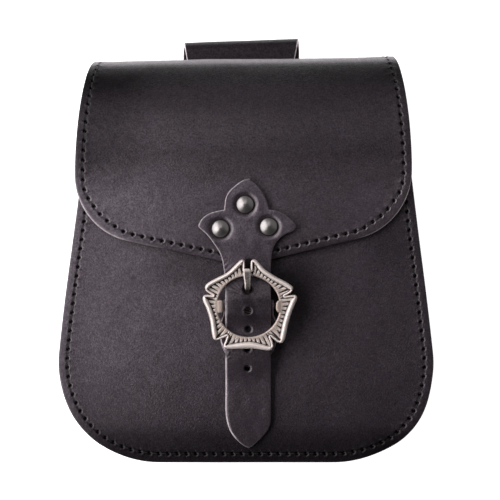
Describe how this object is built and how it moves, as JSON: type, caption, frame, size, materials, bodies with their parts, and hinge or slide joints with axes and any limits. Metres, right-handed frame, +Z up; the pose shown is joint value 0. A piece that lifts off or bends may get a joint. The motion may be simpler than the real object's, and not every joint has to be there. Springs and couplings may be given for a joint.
{
  "type": "belt bag",
  "caption": "Bell-shaped leather belt bag with a long front flap, a three-lobed riveted strap, a fastened five-lobed buckle and a belt loop behind; hollow, lying on its back.",
  "frame": {"origin": "on the floor under the middle of the whole bag, lying on its back on its belt loop", "axes": "+Z up, out of the bag's front; +Y towards the bag's top; +X to the right seen from the front"},
  "size_m": [0.1821, 0.2127, 0.0685],
  "materials": {
    "panel_leather": "smooth black cowhide with a slight violet cast, fine mottled grain, satin, pale burnished cut edges",
    "gusset_leather": "softer black leather, matt to satin",
    "strap_leather": "smooth black strap leather, satin, small creases where it bends",
    "rivet_metal": "brushed antique silver with dark tarnish round the rim",
    "buckle_metal": "warm antique silver casting, worn bright on its edges, brown-black in the recesses",
    "thread": "waxed black thread"
  },
  "bodies": {
    "root": {"back_and_flap": "panel_leather", "front_panel": "panel_leather", "gusset": "gusset_leather", "closure_strap": "strap_leather", "head_rivet_top": "rivet_metal", "head_rivet_left": "rivet_metal", "head_rivet_right": "rivet_metal", "buckle_frame": "buckle_metal", "buckle_prong": "buckle_metal", "buckle_chape": "strap_leather", "belt_loop": "strap_leather"}
  },
  "joints": []
}
